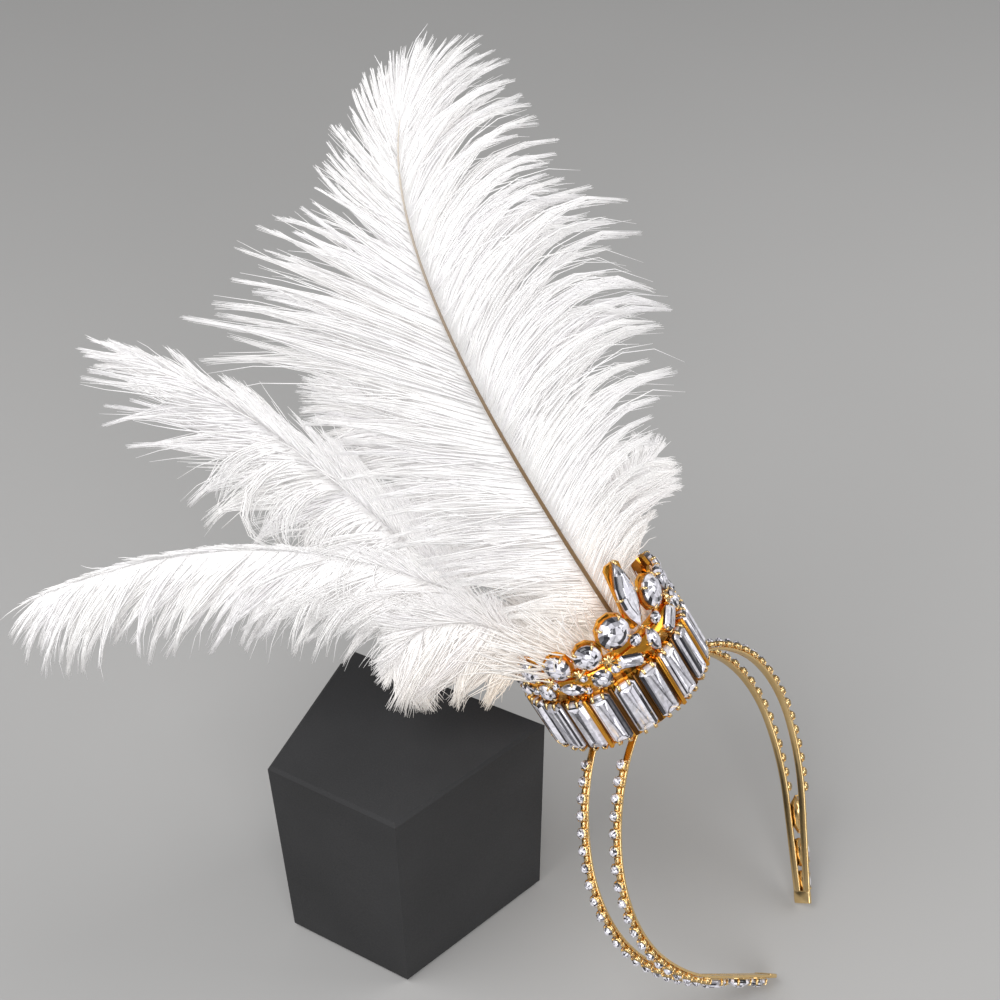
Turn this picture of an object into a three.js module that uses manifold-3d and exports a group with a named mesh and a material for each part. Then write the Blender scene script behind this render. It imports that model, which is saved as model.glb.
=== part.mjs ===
// A feather crown headband at rest against a plain display block.
// Two gold strands set with small crystals carry a ring-shaped crystal crown, and plumes stand in the crown.
// Millimetres, +Z up. The headband faces -Y and leans back (+Y) against the block's corner.

import * as THREE from "three";
import { mergeVertices } from "three/addons/utils/BufferGeometryUtils.js";
import Module from "manifold-3d";

const wasm = await Module();
wasm.setup();

// Clearance between pieces that touch on the real thing
const seatGap = 0.3;

// Resting pose: the top of the hoop in the part's frame, and how far the hoop leans back
const hoopTop = new THREE.Vector3(57, -69, 108.55);
const leanDeg = 34.7;

// Display block: footprint corners round the underside's centre, height and edge chamfer
const blockCorners = [
  { x: -31, y: 30.5 },
  { x: -30, y: -21.5 },
  { x: 33.5, y: -45.1 },
  { x: 29, y: 35.5 },
];
const blockHeight = 104;
const blockChamfer = 1.2;

// Half of the hoop from its top to one tip: arcs in the hoop's plane, the last stretch straight
const hoopArcs = [
  { length: 62, radius: 66 },
  { length: 44, radius: 47 },
  { length: 34, radius: 85 },
  { length: 40, radius: Infinity },
];
const armLength = hoopArcs.reduce((sum, arc) => sum + arc.length, 0);
const stationStep = 8;

// Each strand is a flat strip. The two stand apart at the top and run together at the tips.
const strip = { width: 3, thickness: 1 };
const strandSpread = { top: 9.5, tip: 2 };
const tipCap = { length: 5, width: 7.4, thickness: 1.6 };

// Cup chain on the outer face of each strand: stones in cups, joined by thin links.
// The lengths run along the strand from a cup's middle, the heights off the chain's foot.
const chain = { start: 30.2, pitch: 5.77, cups: 19 };
const link = { width: 1.8, sideHeight: 0.5, topWidth: 1.4, height: 0.9 };
const cup = { halfLength: 1.95, tableHalf: 1, width: 3.8, sideHeight: 2.1, topWidth: 2, height: 3.3 };

// Larger stones on the outer face at each tip: place along the arm and size
const endStones = [
  { name: "end_navette", shape: "navette", along: 145, length: 14, width: 6 },
  { name: "end_oval", shape: "oval", along: 160, length: 10.5, width: 7 },
  { name: "end_drop", shape: "oval", along: 171.5, length: 8, width: 6 },
];

// Crown: a backing cup of flat panels, one panel behind each baguette
const panels = 20;
const panelDeg = 360 / panels;
const wall = { radius: 29.2, thickness: 1, bottom: 3.2, top: 36 };
const basePlate = { bottom: 0.8, radius: 22, thickness: 1.5 };

// Cut stones: depth of girdle and table over the foot, the foot's inset, and the table's inset as a share of
// the stone's smaller size. A navette's points draw in faster than its sides.
const cut = { girdleDepth: 1.4, tableDepth: 3, footInset: 0.35, tableShare: 0.24, pointShare: 1.8 };

const baguette = { width: 7.8, length: 20.4, cutCorner: 1.3, centre: 14.4 };

// The rows above the baguettes are centred on one tall navette, a little to the left of the hoop's front.
// Angles count from that stone, and each row is mirrored to both sides of it.
const crownTurnDeg = -12;

// Middle row: small stones on one thin gold strip
const midStrip = { bottom: 26.2, top: 33.4, thickness: 0.7 };
const midStones = [
  { angle: 0, height: 30.2, shape: "navette", length: 10, width: 5.4, roll: 0 },
  { angle: 21, height: 30, shape: "baguette", length: 9.4, width: 4.8, roll: 62 },
  { angle: 42, height: 29.9, shape: "oval", length: 7.4, width: 7, roll: 90 },
  { angle: 63, height: 29.9, shape: "navette", length: 10, width: 5, roll: 70 },
  { angle: 84, height: 29.9, shape: "oval", length: 7.4, width: 7, roll: 90 },
  { angle: 105, height: 29.9, shape: "navette", length: 10, width: 5, roll: 90 },
  { angle: 126, height: 29.9, shape: "oval", length: 7.4, width: 7, roll: 90 },
  { angle: 148, height: 29.9, shape: "navette", length: 10, width: 5, roll: 90 },
  { angle: 169, height: 29.9, shape: "oval", length: 7.4, width: 7, roll: 90 },
];

// Top row: the tall navette, then round stones. The plate is the gold behind a stone, rimmed at its sides.
const backing = { rim: 0.6, thickness: 1.2 };
const roundStone = (name, angle, height, size, plateLength) => ({
  name, angle, height, shape: "oval", length: size, width: size, roll: 0,
  plate: { shape: "oval", length: plateLength, width: size + 2 * backing.rim },
});
const topStones = [
  { name: "tall_navette", angle: 0, height: 49.6, shape: "navette", length: 25, width: 8, roll: -9,
    plate: { shape: "baguette", length: 24.4, width: 7 } },
  roundStone("round_a", 21, 42.2, 11.6, 13.6),
  roundStone("round_b", 43, 39.4, 9.6, 11),
  roundStone("round_c", 65, 39.4, 9.6, 11),
  roundStone("round_d", 89, 39, 9, 10.4),
  roundStone("round_e", 115, 39, 9, 10.4),
  roundStone("round_f", 141, 39, 9, 10.4),
  roundStone("round_g", 167, 39, 9, 10.4),
];

// Plumes stand in a fan whose plane is turned about the crown's axis. In that plane "out" runs to the
// wearer's right and back, "up" along the crown's axis, and layer sets one plume behind another.
// The whole fan bows backwards with the square of "out".
// root holds the foot's out, then the out and up that the quill first heads for. first is the share of the
// quill below the vane. A vane has rows of barb sizes for its out side and for the other: share along the
// vane, barb length, the angle at which barbs leave the quill, and how far they turn away by their tips.
const fanDeg = 43;
const fanBow = 0.0011;
const quill = { rootRadius: 1.4, tipRadius: 0.45, foot: 2.6 };
const barbs = (share, length, leaveDeg, droopDeg) => ({ share, length, leaveDeg, droopDeg });
const plumes = [
  { name: "main_plume", layer: -14, root: [-9, -8, 90], bend: [-2, 188], tip: [-35, 221],
    first: 0.2, locks: 12,
    out: [barbs(0, 36, 56, 20), barbs(0.12, 52, 54, 22), barbs(0.23, 55, 50, 22), barbs(0.3, 58, 46, 16),
      barbs(0.36, 98, 45, 2), barbs(0.45, 79, 42, 0), barbs(0.55, 58, 42, -4), barbs(0.66, 39, 38, -8),
      barbs(0.8, 31, 32, -14), barbs(1, 20, 30, -20)],
    in: [barbs(0, 34, 52, 30), barbs(0.15, 66, 50, 70), barbs(0.3, 77, 44, 80), barbs(0.45, 75, 40, 78),
      barbs(0.54, 69, 36, 75), barbs(0.66, 61, 32, 66), barbs(0.8, 52, 28, 56), barbs(0.92, 40, 22, 44),
      barbs(1, 29, 14, 24)] },
  { name: "right_plume", layer: -5, root: [-14, -15, 60], bend: [-28, 78], tip: [-48, 76],
    first: 0.4, locks: 5,
    out: [barbs(0, 14, 56, 40), barbs(0.5, 22, 48, 30), barbs(1, 12, 20, 10)],
    in: [barbs(0, 18, 56, 40), barbs(0.5, 30, 50, 30), barbs(1, 16, 24, 20)] },
  { name: "fluff_plume", layer: -5, root: [12, 20, 62], bend: [45, 80], tip: [66, 60],
    first: 0.4, locks: 5,
    out: [barbs(0, 26, 56, 40), barbs(0.4, 33, 50, 40), barbs(0.8, 26, 40, 24), barbs(1, 13, 24, 14)],
    in: [barbs(0, 30, 40, 20), barbs(0.4, 28, 26, 4), barbs(0.8, 18, 22, 0), barbs(1, 10, 16, 4)] },
  { name: "low_plume", layer: 3, root: [8, 26, 88], bend: [80, 140], tip: [158, 141],
    first: 0.3, locks: 9,
    out: [barbs(0, 36, 50, 30), barbs(0.2, 47, 44, 34), barbs(0.6, 50, 34, 42), barbs(0.78, 53, 30, 44),
      barbs(0.9, 42, 26, 40), barbs(1, 20, 14, 22)],
    in: [barbs(0, 22, 50, 20), barbs(0.3, 20, 28, 0), barbs(0.6, 14, 20, -16), barbs(0.85, 12, 16, -14),
      barbs(1, 10, 8, -8)] },
  { name: "left_plume", layer: 11, root: [6, 46, 80], bend: [42, 150], tip: [80, 196],
    first: 0.28, locks: 8,
    out: [barbs(0, 30, 60, 50), barbs(0.25, 40, 56, 50), barbs(0.45, 44, 48, 40), barbs(0.52, 54, 34, 10),
      barbs(0.7, 48, 24, 4), barbs(0.85, 32, 16, 4), barbs(1, 20, 10, 6)],
    in: [barbs(0, 30, 40, 20), barbs(0.3, 42, 18, 4), barbs(0.55, 38, 12, 0), barbs(0.75, 24, 12, -4),
      barbs(1, 18, 4, 0)] },
  { name: "back_plume", layer: 18, root: [-1, 12, 70], bend: [14, 110], tip: [24, 148],
    first: 0.3, locks: 7,
    out: [barbs(0, 30, 56, 40), barbs(0.4, 44, 50, 40), barbs(0.8, 34, 34, 20), barbs(1, 18, 20, 0)],
    in: [barbs(0, 26, 56, 40), barbs(0.4, 40, 50, 40), barbs(0.8, 32, 34, 20), barbs(1, 18, 20, 0)] },
];
// The solid vane is notched between locks, and a lock bends at its knee
const vane = { knee: 0.55, notch: 0.72, last: 0.985, middleThickness: 4.4, edgeThickness: 1.4 };

const colours = { gold: 0xd9a441, crystal: 0xdfe3ee, feather: 0xf6f1f0, block: 0x17181a };

const degrees = THREE.MathUtils.degToRad;

function material(kind) {
  const metalness = kind === "gold" ? 1 : 0;
  const roughness = { gold: 0.25, crystal: 0.05, feather: 0.9, block: 0.7 }[kind];
  return new THREE.MeshStandardMaterial({ color: colours[kind], metalness, roughness });
}

function pieceMesh(name, geometry, kind) {
  const mesh = new THREE.Mesh(geometry, material(kind));
  mesh.name = name;
  return mesh;
}

// Closed-body helpers

function bareGeometry(geometry) {
  const bare = geometry.clone();
  bare.deleteAttribute("normal");
  bare.deleteAttribute("uv");
  return mergeVertices(bare, 1e-4);
}

function toSolid(geometry) {
  const bare = bareGeometry(geometry);
  return new wasm.Manifold(new wasm.Mesh({
    numProp: 3,
    vertProperties: Float32Array.from(bare.attributes.position.array),
    triVerts: Uint32Array.from(bare.index.array),
  }));
}

function fuse(geometries) {
  const solids = geometries.map(toSolid);
  const whole = solids.reduce((sum, solid) => sum.add(solid));
  const mesh = whole.getMesh();
  const fused = new THREE.BufferGeometry();
  fused.setAttribute("position", new THREE.BufferAttribute(Float32Array.from(mesh.vertProperties), 3));
  fused.setIndex(new THREE.BufferAttribute(Uint32Array.from(mesh.triVerts), 1));
  fused.computeVertexNormals();
  return fused;
}

// Skins a run of equal rings of points and closes both ends
function loft(rings) {
  const count = rings[0].length;
  const positions = rings.flat().flatMap((point) => [point.x, point.y, point.z]);
  const index = [];
  for (let r = 0; r + 1 < rings.length; r++) {
    for (let i = 0; i < count; i++) {
      const a = r * count + i;
      const b = r * count + ((i + 1) % count);
      index.push(a, b, b + count, a, b + count, a + count);
    }
  }
  const last = (rings.length - 1) * count;
  for (let i = 1; i + 1 < count; i++) {
    index.push(0, i + 1, i);
    index.push(last, last + i, last + i + 1);
  }
  const geometry = new THREE.BufferGeometry();
  geometry.setAttribute("position", new THREE.BufferAttribute(Float32Array.from(positions), 3));
  geometry.setIndex(index);
  geometry.computeVertexNormals();
  return geometry;
}

// Cut stones: outlines shrink by an inset from girdle to table

function ovalOutline(length, width, inset) {
  const points = [];
  const sides = 10;
  for (let i = 0; i < sides; i++) {
    const turn = (2 * Math.PI * i) / sides;
    const x = (width / 2 - inset) * Math.cos(turn);
    const y = (length / 2 - inset) * Math.sin(turn);
    points.push(new THREE.Vector2(x, y));
  }
  return points;
}

function navetteOutline(length, width, inset) {
  const points = [];
  const perSide = 4;
  const halfLength = length / 2 - cut.pointShare * inset;
  const halfWidth = width / 2 - inset;
  for (const side of [1, -1]) {
    for (let i = 0; i < perSide; i++) {
      const t = -1 + (2 * i) / perSide;
      points.push(new THREE.Vector2(side * halfWidth * (1 - t * t), side * halfLength * t));
    }
  }
  return points;
}

function baguetteOutline(length, width, inset) {
  const x = width / 2 - inset;
  const y = length / 2 - inset;
  const corner = Math.min(baguette.cutCorner, width / 4);
  return [
    [x, -y + corner], [x, y - corner], [x - corner, y], [-x + corner, y],
    [-x, y - corner], [-x, -y + corner], [-x + corner, -y], [x - corner, -y],
  ].map(([px, py]) => new THREE.Vector2(px, py));
}

const outlines = { oval: ovalOutline, navette: navetteOutline, baguette: baguetteOutline };

// A stone fused to its setting, from its foot by the girdle to the table: local Z outwards, Y along the stone
function cutStone({ shape, length, width }) {
  const levels = [
    { inset: cut.footInset, depth: 0 },
    { inset: 0, depth: cut.girdleDepth },
    { inset: cut.tableShare * Math.min(length, width), depth: cut.tableDepth },
  ];
  return loft(levels.map(({ inset, depth }) =>
    outlines[shape](length, width, inset).map((point) => new THREE.Vector3(point.x, point.y, depth))));
}

// Places local geometry on the crown: angle round the axis from the front, height, radius and roll
function onCrown(geometry, { angle, height, roll = 0 }, radius) {
  const turn = degrees(angle);
  const outward = new THREE.Vector3(Math.sin(turn), -Math.cos(turn), 0);
  const lateral = new THREE.Vector3(Math.cos(turn), Math.sin(turn), 0);
  const up = new THREE.Vector3(0, 0, 1);
  const place = new THREE.Matrix4().makeBasis(lateral, up, outward);
  place.setPosition(outward.clone().multiplyScalar(radius).setZ(height));
  const rolled = new THREE.Matrix4().makeRotationZ(degrees(roll));
  return geometry.clone().applyMatrix4(rolled).applyMatrix4(place);
}

// The middle stone of a row stands alone, and the others are mirrored
function bothSides(row) {
  if (row.angle === 0) {
    return [{ ...row, suffix: "", angle: crownTurnDeg }];
  }
  return [
    { ...row, suffix: "_left", angle: crownTurnDeg - row.angle, roll: row.roll },
    { ...row, suffix: "_right", angle: crownTurnDeg + row.angle, roll: -row.roll },
  ];
}

// Hoop: a point of one arm and its outward normal, at a distance from the top

function alongArm(distance) {
  let x = 0;
  let z = 0;
  let angle = 0;
  let left = distance;
  for (const arc of hoopArcs) {
    const step = Math.min(left, arc.length);
    if (Number.isFinite(arc.radius)) {
      const next = angle + step / arc.radius;
      x += arc.radius * (Math.sin(next) - Math.sin(angle));
      z += arc.radius * (Math.cos(next) - Math.cos(angle));
      angle = next;
    } else {
      x += step * Math.cos(angle);
      z -= step * Math.sin(angle);
    }
    left -= step;
  }
  return { x, z, angle };
}

// The sign of the distance picks the arm: left (-X) or right (+X) as seen from the front.
// face is -1 on the front strand, 1 on the back one and 0 midway.
function hoopFrame(signedDistance, face) {
  const side = signedDistance < 0 ? -1 : 1;
  const { x, z, angle } = alongArm(Math.abs(signedDistance));
  const share = Math.abs(signedDistance) / armLength;
  const spread = THREE.MathUtils.lerp(strandSpread.top, strandSpread.tip, share);
  return {
    point: new THREE.Vector3(side * x, face * spread, z),
    normal: new THREE.Vector3(side * Math.sin(angle), 0, Math.cos(angle)),
    tangent: new THREE.Vector3(Math.cos(angle), 0, -side * Math.sin(angle)),
  };
}

// The flat strip of one strand, from tip to tip
function strandStrip(face) {
  const steps = Math.round((2 * armLength) / stationStep);
  const rings = [];
  for (let i = 0; i <= steps; i++) {
    const { point, normal } = hoopFrame(THREE.MathUtils.lerp(-armLength, armLength, i / steps), face);
    const across = new THREE.Vector3(0, strip.width / 2, 0);
    const low = point.clone().addScaledVector(normal, -strip.thickness / 2);
    const high = point.clone().addScaledVector(normal, strip.thickness / 2);
    rings.push([
      low.clone().sub(across), low.clone().add(across), high.clone().add(across), high.clone().sub(across),
    ]);
  }
  return loft(rings);
}

// Local Z outwards and local Y along the arm, at the middle of the two strands or on one of them
function onArm(geometry, signedDistance, face, lift) {
  const { point, normal, tangent } = hoopFrame(signedDistance, face);
  const place = new THREE.Matrix4().makeBasis(tangent.clone().cross(normal), tangent, normal);
  place.setPosition(point.addScaledVector(normal, lift));
  return geometry.clone().applyMatrix4(place);
}

function hoopPiece() {
  const strands = [-1, 1].map(strandStrip);
  const cap = new THREE.BoxGeometry(tipCap.width, tipCap.length, tipCap.thickness);
  const caps = [-1, 1].map((side) => onArm(cap, side * (armLength - tipCap.length / 2), 0, 0));
  return pieceMesh("hoop", fuse([...strands, ...caps]), "gold");
}

// Cross-section of a chain: a foot, two upright sides and a flat top, all centred on the strand
function chainSection(distance, face, { width, sideHeight, topWidth, height }) {
  const { point, normal } = hoopFrame(distance, face);
  const foot = strip.thickness / 2 + seatGap;
  const corners = [
    [-width, 0], [width, 0], [width, sideHeight],
    [topWidth, height], [-topWidth, height], [-width, sideHeight],
  ];
  return corners.map(([across, rise]) =>
    point.clone().addScaledVector(normal, foot + rise).add(new THREE.Vector3(0, across / 2, 0)));
}

function chainPiece(name, side, face) {
  const stations = [
    { offset: -cup.halfLength, section: link },
    { offset: -cup.tableHalf, section: cup },
    { offset: cup.tableHalf, section: cup },
    { offset: cup.halfLength, section: link },
  ];
  const rings = [];
  for (let i = 0; i < chain.cups; i++) {
    const order = side < 0 ? chain.cups - 1 - i : i;
    const middle = side * (chain.start + order * chain.pitch);
    rings.push(...stations.map(({ offset, section }) => chainSection(middle + offset, face, section)));
  }
  return pieceMesh(name, loft(rings), "crystal");
}

function endStonePieces(side, suffix) {
  const lift = tipCap.thickness / 2 + seatGap;
  return endStones.map((stone) =>
    pieceMesh(stone.name + suffix, onArm(cutStone(stone), side * stone.along, 0, lift), "crystal"));
}

// Crown

function crownFrame() {
  const corner = 1 / Math.cos(degrees(panelDeg / 2));
  const outer = wall.radius * corner;
  const inner = (wall.radius - wall.thickness) * corner;
  const profile = [
    [0, basePlate.bottom], [basePlate.radius, basePlate.bottom], [outer, wall.bottom], [outer, wall.top],
    [inner, wall.top], [inner, wall.bottom + basePlate.thickness],
    [basePlate.radius, basePlate.bottom + basePlate.thickness], [0, basePlate.bottom + basePlate.thickness],
  ].map(([radius, height]) => new THREE.Vector2(radius, height));
  const cupWall = new THREE.LatheGeometry(profile, panels).rotateX(Math.PI / 2);
  const plates = topStones.flatMap(bothSides).map((stone) => {
    const outline = outlines[stone.plate.shape](stone.plate.length, stone.plate.width, 0);
    const plate = loft([0, backing.thickness].map((depth) =>
      outline.map((point) => new THREE.Vector3(point.x, point.y, depth))));
    return onCrown(plate, stone, wall.radius - backing.thickness);
  });
  return pieceMesh("crown_frame", fuse([cupWall, ...plates]), "gold");
}

function baguettePieces() {
  const stone = cutStone({ shape: "baguette", ...baguette });
  return Array.from({ length: panels }, (_, i) => {
    const place = { angle: (i + 0.5) * panelDeg, height: baguette.centre };
    const name = `baguette_${String(i + 1).padStart(2, "0")}`;
    return pieceMesh(name, onCrown(stone, place, wall.radius + seatGap), "crystal");
  });
}

function topStonePieces() {
  return topStones.flatMap(bothSides).map((stone) => {
    const placed = onCrown(cutStone(stone), stone, wall.radius + 2 * seatGap);
    return pieceMesh(stone.name + stone.suffix, placed, "crystal");
  });
}

function midRowPiece() {
  const corner = 1 / Math.cos(degrees(panelDeg / 2));
  const inner = (wall.radius + seatGap) * corner;
  const outer = inner + midStrip.thickness * corner;
  const profile = [
    [inner, midStrip.bottom], [outer, midStrip.bottom], [outer, midStrip.top], [inner, midStrip.top],
    [inner, midStrip.bottom],
  ].map(([radius, height]) => new THREE.Vector2(radius, height));
  const band = new THREE.LatheGeometry(profile, panels).rotateX(Math.PI / 2);
  const stones = midStones.flatMap(bothSides).map((stone) =>
    onCrown(cutStone(stone), stone, wall.radius + 2 * seatGap));
  return pieceMesh("mid_row", fuse([band, ...stones]), "crystal");
}

// Plumes: a bent quill fused to a vane whose two edges are notched into locks

// Takes a point (out, up, behind the layer) of the fan into the headband's frame
function inFan(flat, layer) {
  const turn = degrees(fanDeg);
  const out = new THREE.Vector3(-Math.cos(turn), Math.sin(turn), 0);
  const back = new THREE.Vector3(Math.sin(turn), Math.cos(turn), 0);
  const behind = layer + flat.z + fanBow * flat.x * flat.x;
  return new THREE.Vector3(0, 0, flat.y).addScaledVector(out, flat.x).addScaledVector(back, behind);
}

function quillCurve({ root, bend, tip }) {
  const [foot, out, up] = root;
  const corners = [[foot, quill.foot], [out, up], bend, tip].map(([x, y]) => new THREE.Vector3(x, y, 0));
  return new THREE.CubicBezierCurve3(...corners);
}

function quillRings(curve) {
  const steps = 10;
  return Array.from({ length: steps + 1 }, (_, i) => {
    const t = i / steps;
    const radius = THREE.MathUtils.lerp(quill.rootRadius, quill.tipRadius, t);
    const centre = curve.getPoint(t);
    // The foot is cut level, to stand flat in the crown
    const tangent = i === 0 ? new THREE.Vector3(0, 1, 0) : curve.getTangent(t);
    const across = new THREE.Vector3(tangent.y, -tangent.x, 0);
    return Array.from({ length: 6 }, (_unused, k) => {
      const turn = (k * Math.PI) / 3;
      return centre.clone().addScaledVector(across, radius * Math.cos(turn))
        .add(new THREE.Vector3(0, 0, -radius * Math.sin(turn)));
    });
  });
}

// Barb sizes at a share of the vane, between the two rows on either side of it
function barbsAt(rows, share) {
  const next = Math.max(1, rows.findIndex((row) => row.share >= share));
  const [low, high] = [rows[next - 1], rows[next]];
  const between = (share - low.share) / (high.share - low.share);
  const mix = (key) => THREE.MathUtils.lerp(low[key], high[key], between);
  return { length: mix("length"), leaveDeg: mix("leaveDeg"), droopDeg: mix("droopDeg") };
}

// One lock's middle line: it leaves the quill at a slant and droops outwards (side 1 is the out side)
function lockCurve(rootPoint, tangent, side, { length, leaveDeg, droopDeg }) {
  const axis = new THREE.Vector3(0, 0, 1);
  const start = tangent.clone().applyAxisAngle(axis, -side * degrees(leaveDeg));
  const drooped = start.clone().applyAxisAngle(axis, -side * degrees(droopDeg));
  const knee = rootPoint.clone().addScaledVector(start, length * vane.knee);
  const end = knee.clone().addScaledVector(drooped, length * (1 - vane.knee));
  return new THREE.QuadraticBezierCurve3(rootPoint, knee, end);
}

// A ring of the vane runs out along one lock, back under it, and the same on the other side of the quill
function vaneRing(curve, row, share) {
  const t = THREE.MathUtils.lerp(row.first, vane.last, share);
  const isTip = Math.round(share * 2 * row.locks) % 2 === 0;
  const lines = [[1, row.out], [-1, row.in]].map(([side, rows]) => {
    const form = barbsAt(rows, share);
    form.length *= isTip ? 1 : vane.notch;
    return lockCurve(curve.getPoint(t), curve.getTangent(t), side, form);
  });
  const rise = (point, thickness) => point.clone().add(new THREE.Vector3(0, 0, thickness / 2));
  const top = [
    rise(lines[0].getPoint(1), vane.edgeThickness), rise(lines[0].getPoint(0.5), vane.middleThickness),
    rise(lines[0].getPoint(0), vane.middleThickness), rise(lines[1].getPoint(0.5), vane.middleThickness),
    rise(lines[1].getPoint(1), vane.edgeThickness),
  ];
  const under = top.map((point) => new THREE.Vector3(point.x, point.y, -point.z)).reverse();
  return [...top, ...under].reverse();
}

function plumePiece(row) {
  const curve = quillCurve(row);
  const stations = 2 * row.locks;
  const vaneRings = Array.from({ length: stations + 1 }, (_, i) => vaneRing(curve, row, i / stations));
  const placed = [quillRings(curve), vaneRings].map((rings) =>
    loft(rings.map((ring) => ring.map((point) => inFan(point, row.layer)))));
  return pieceMesh(row.name, fuse(placed), "feather");
}

function displayBlock() {
  const footprint = blockCorners.map(({ x, y }) => new THREE.Vector2(x, y));
  const geometry = new THREE.ExtrudeGeometry(new THREE.Shape(footprint), {
    depth: blockHeight - 2 * blockChamfer,
    bevelEnabled: true,
    bevelSegments: 1,
    bevelSize: blockChamfer,
    bevelOffset: -blockChamfer,
    bevelThickness: blockChamfer,
  });
  return pieceMesh("display_block", bareGeometry(geometry.translate(0, 0, blockChamfer)), "block");
}

const headband = new THREE.Group();
headband.add(hoopPiece());
for (const [side, hand] of [[-1, "left"], [1, "right"]]) {
  headband.add(chainPiece(`front_chain_${hand}`, side, -1));
  headband.add(chainPiece(`back_chain_${hand}`, side, 1));
  headband.add(...endStonePieces(side, `_${hand}`));
}
headband.add(crownFrame(), midRowPiece(), ...baguettePieces(), ...topStonePieces());
headband.add(...plumes.map(plumePiece));
headband.position.copy(hoopTop);
headband.rotation.x = -degrees(leanDeg);

const part = new THREE.Group();
part.add(displayBlock(), headband);
part.updateMatrixWorld(true);

export default part;
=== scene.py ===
# Looks of the feather crown headband and its display block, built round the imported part.
import math

import bpy
import numpy as np
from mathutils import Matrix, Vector


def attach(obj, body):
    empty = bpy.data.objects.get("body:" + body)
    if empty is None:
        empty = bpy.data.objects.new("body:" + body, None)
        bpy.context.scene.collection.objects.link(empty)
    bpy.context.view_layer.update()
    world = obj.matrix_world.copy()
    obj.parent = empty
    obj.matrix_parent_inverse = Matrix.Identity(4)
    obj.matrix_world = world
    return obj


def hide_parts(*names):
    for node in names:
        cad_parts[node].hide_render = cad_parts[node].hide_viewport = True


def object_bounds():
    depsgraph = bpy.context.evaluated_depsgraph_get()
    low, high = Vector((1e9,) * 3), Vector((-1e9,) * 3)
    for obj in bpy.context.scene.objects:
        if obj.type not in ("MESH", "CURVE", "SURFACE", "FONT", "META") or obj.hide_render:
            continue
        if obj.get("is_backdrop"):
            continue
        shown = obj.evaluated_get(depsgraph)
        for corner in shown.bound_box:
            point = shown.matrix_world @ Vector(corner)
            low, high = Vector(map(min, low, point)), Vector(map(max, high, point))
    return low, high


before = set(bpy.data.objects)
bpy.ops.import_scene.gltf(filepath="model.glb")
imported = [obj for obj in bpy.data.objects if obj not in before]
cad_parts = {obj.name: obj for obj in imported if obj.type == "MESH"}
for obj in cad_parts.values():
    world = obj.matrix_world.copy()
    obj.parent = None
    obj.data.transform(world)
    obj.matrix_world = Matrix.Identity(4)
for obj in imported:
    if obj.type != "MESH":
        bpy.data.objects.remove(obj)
cad_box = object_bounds()

# Sizes are millimetres in the headband's own frame, unless a heading says otherwise. Angles in tables are
# degrees, unless a name ends in rad. Left and right are as seen from the headband's front.
MM = 0.001
ROOT = "root"

# Resting pose of the headband: the top of the hoop, and how far the hoop leans back
HOOP_TOP = np.array([57.0, -69.0, 108.55])
LEAN = math.radians(34.7)

# Seeds of the random draws
SEEDS = {"plumes": 100, "loose": 8, "down": 7, "crown": 21, "ends": 22, "chains": 23}


def draws(name, number=0):
    return np.random.default_rng(SEEDS[name] + number)


def to_part(points):
    """Takes millimetres in the headband's frame to metres in the part's frame."""
    x, y, z = np.moveaxis(np.asarray(points, float), -1, 0)
    back = y * math.cos(LEAN) + z * math.sin(LEAN)
    rise = z * math.cos(LEAN) - y * math.sin(LEAN)
    return (np.stack([x, back, rise], -1) + HOOP_TOP) * MM


# Finishes. The scales of noise and cells count features in a metre.

class Value:
    """A socket of a finish. Sums and products of values add Math nodes."""

    def __init__(self, finish, socket):
        self.finish = finish
        self.socket = socket

    def math(self, operation, other):
        return self.finish.node("ShaderNodeMath", 0, {"operation": operation}, {0: self, 1: other})

    def __add__(self, other):
        return self.math("ADD", other)

    def __mul__(self, other):
        return self.math("MULTIPLY", other)

    __radd__ = __add__


class Finish:
    """A material with one Principled shader, whose sockets are set or wired by name."""

    def __init__(self, name):
        self.material = bpy.data.materials.new(name)
        self.material.use_nodes = True
        self.tree = self.material.node_tree
        self.shader = self.tree.nodes["Principled BSDF"]

    def feed(self, socket, value):
        if isinstance(value, Value):
            self.tree.links.new(value.socket, socket)
        else:
            socket.default_value = value

    def node(self, kind, output, settings=None, inputs=None):
        made = self.tree.nodes.new(kind)
        for key, value in (settings or {}).items():
            setattr(made, key, value)
        for key, value in (inputs or {}).items():
            self.feed(made.inputs[key], value)
        return Value(self, made.outputs[output])

    def place(self):
        return self.node("ShaderNodeTexCoord", "Object")

    def attribute(self, name):
        return self.node("ShaderNodeAttribute", "Fac", {"attribute_name": name})

    def noise(self, scale, detail=3.0):
        return self.node("ShaderNodeTexNoise", "Fac", {},
                         {"Vector": self.place(), "Scale": scale, "Detail": detail})

    def cells(self, scale):
        return self.node("ShaderNodeTexVoronoi", "Color", {}, {"Vector": self.place(), "Scale": scale})

    def mix(self, share, first, second):
        return self.node("ShaderNodeMix", 2, {"data_type": "RGBA"}, {0: share, 6: first, 7: second})

    def bump(self, height, strength, depth):
        return self.node("ShaderNodeBump", "Normal", {},
                         {"Height": height, "Strength": strength, "Distance": depth * MM})

    def shade(self, sockets):
        for name, value in sockets.items():
            self.feed(self.shader.inputs[name], value)
        return self.material


def grey(level, warm=0.0):
    return (level * (1 + warm), level, level * (1 - warm), 1.0)


def gold_finish(name, colour, deep):
    """Polished plating: a little uneven in tone, with fine hairlines."""
    finish = Finish(name)
    cloud = finish.noise(180.0)
    grain = finish.noise(2600.0, 2.0)
    return finish.shade({
        "Base Color": finish.mix(cloud, colour, deep),
        "Metallic": 1.0,
        "Roughness": 0.14 + cloud * 0.16,
        "Normal": finish.bump(grain, 0.12, 0.05),
    })


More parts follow.
